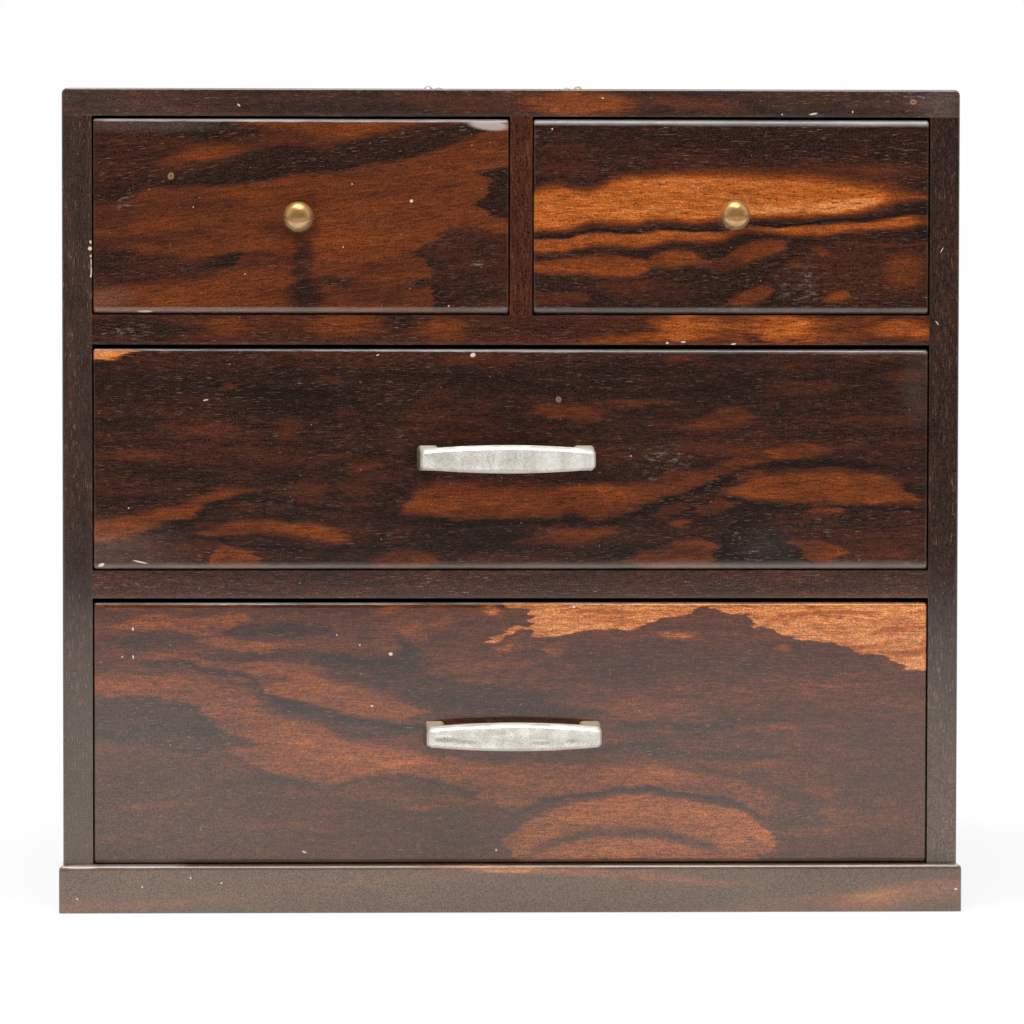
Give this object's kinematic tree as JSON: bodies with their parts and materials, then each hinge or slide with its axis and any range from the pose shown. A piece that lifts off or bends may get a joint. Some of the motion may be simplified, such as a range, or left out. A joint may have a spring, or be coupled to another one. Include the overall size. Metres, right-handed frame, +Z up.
{
  "type": "sewing box",
  "caption": "Small wooden sewing chest with sliding drawers, ball knobs, bar pulls, a plinth and a folding bail handle on top.",
  "frame": {"origin": "middle of the whole box's outline at the surface that it stands on", "axes": "+X to the right seen from the front, +Y to the back, +Z up; the drawers open towards -Y"},
  "size_m": [0.274, 0.1976, 0.2552],
  "materials": {
    "dark_rosewood": "dark streaked hardwood under aged satin varnish",
    "figured_rosewood": "red-brown and black figured hardwood under glossy varnish",
    "paulownia": "unfinished pale softwood",
    "bamboo": "round wooden pegs, cut flush",
    "brass": "aged, dull polish",
    "nickel": "worn silvery plating with pits and brown spots"
  },
  "bodies": {
    "case": {"back_panel": "paulownia", "back_pegs": "bamboo", "bail_nuts": "nickel", "bottom_board": "paulownia", "divider_board": "paulownia", "divider_post": "dark_rosewood", "left_bail_post": "nickel", "left_bail_rosette": "nickel", "left_side": "dark_rosewood", "lower_dust_board": "paulownia", "lower_rail": "dark_rosewood", "plinth_back_rail": "dark_rosewood", "plinth_front_rail": "dark_rosewood", "plinth_left_rail": "dark_rosewood", "plinth_pegs": "bamboo", "plinth_right_rail": "dark_rosewood", "right_bail_post": "nickel", "right_bail_rosette": "nickel", "right_side": "dark_rosewood", "top_board": "dark_rosewood", "top_pegs": "bamboo", "upper_dust_board": "paulownia", "upper_rail": "dark_rosewood"},
    "upper_left_drawer": {"upper_left_drawer_back": "paulownia", "upper_left_drawer_bottom": "paulownia", "upper_left_drawer_front": "figured_rosewood", "upper_left_drawer_knob": "brass", "upper_left_drawer_knob_nut": "brass", "upper_left_drawer_left_side": "paulownia", "upper_left_drawer_pegs": "bamboo", "upper_left_drawer_right_side": "paulownia"},
    "upper_right_drawer": {"upper_right_drawer_back": "paulownia", "upper_right_drawer_bottom": "paulownia", "upper_right_drawer_front": "figured_rosewood", "upper_right_drawer_knob": "brass", "upper_right_drawer_knob_nut": "brass", "upper_right_drawer_left_side": "paulownia", "upper_right_drawer_pegs": "bamboo", "upper_right_drawer_right_side": "paulownia"},
    "middle_drawer": {"middle_drawer_back": "paulownia", "middle_drawer_bottom": "paulownia", "middle_drawer_front": "figured_rosewood", "middle_drawer_left_side": "paulownia", "middle_drawer_pegs": "bamboo", "middle_drawer_pull": "nickel", "middle_drawer_pull_screws": "nickel", "middle_drawer_right_side": "paulownia"},
    "lower_drawer": {"lower_drawer_back": "paulownia", "lower_drawer_bottom": "paulownia", "lower_drawer_front": "figured_rosewood", "lower_drawer_left_side": "paulownia", "lower_drawer_pegs": "bamboo", "lower_drawer_pull": "nickel", "lower_drawer_pull_screws": "nickel", "lower_drawer_right_side": "paulownia"},
    "bail": {"bail": "nickel"}
  },
  "joints": [
    {"name": "upper_left_drawer_slide", "type": "slide", "parent": "case", "child": "upper_left_drawer", "axis": [0, -1, 0], "range_m": [0, 0.14]},
    {"name": "upper_right_drawer_slide", "type": "slide", "parent": "case", "child": "upper_right_drawer", "axis": [0, -1, 0], "range_m": [0, 0.14]},
    {"name": "middle_drawer_slide", "type": "slide", "parent": "case", "child": "middle_drawer", "axis": [0, -1, 0], "range_m": [0, 0.14]},
    {"name": "lower_drawer_slide", "type": "slide", "parent": "case", "child": "lower_drawer", "axis": [0, -1, 0], "range_m": [0, 0.14]},
    {"name": "bail_hinge", "type": "hinge", "parent": "case", "child": "bail", "pos_m": [0, 0.00575, 0.253], "axis": [1, 0, 0], "range_deg": [0, 189.08]}
  ]
}
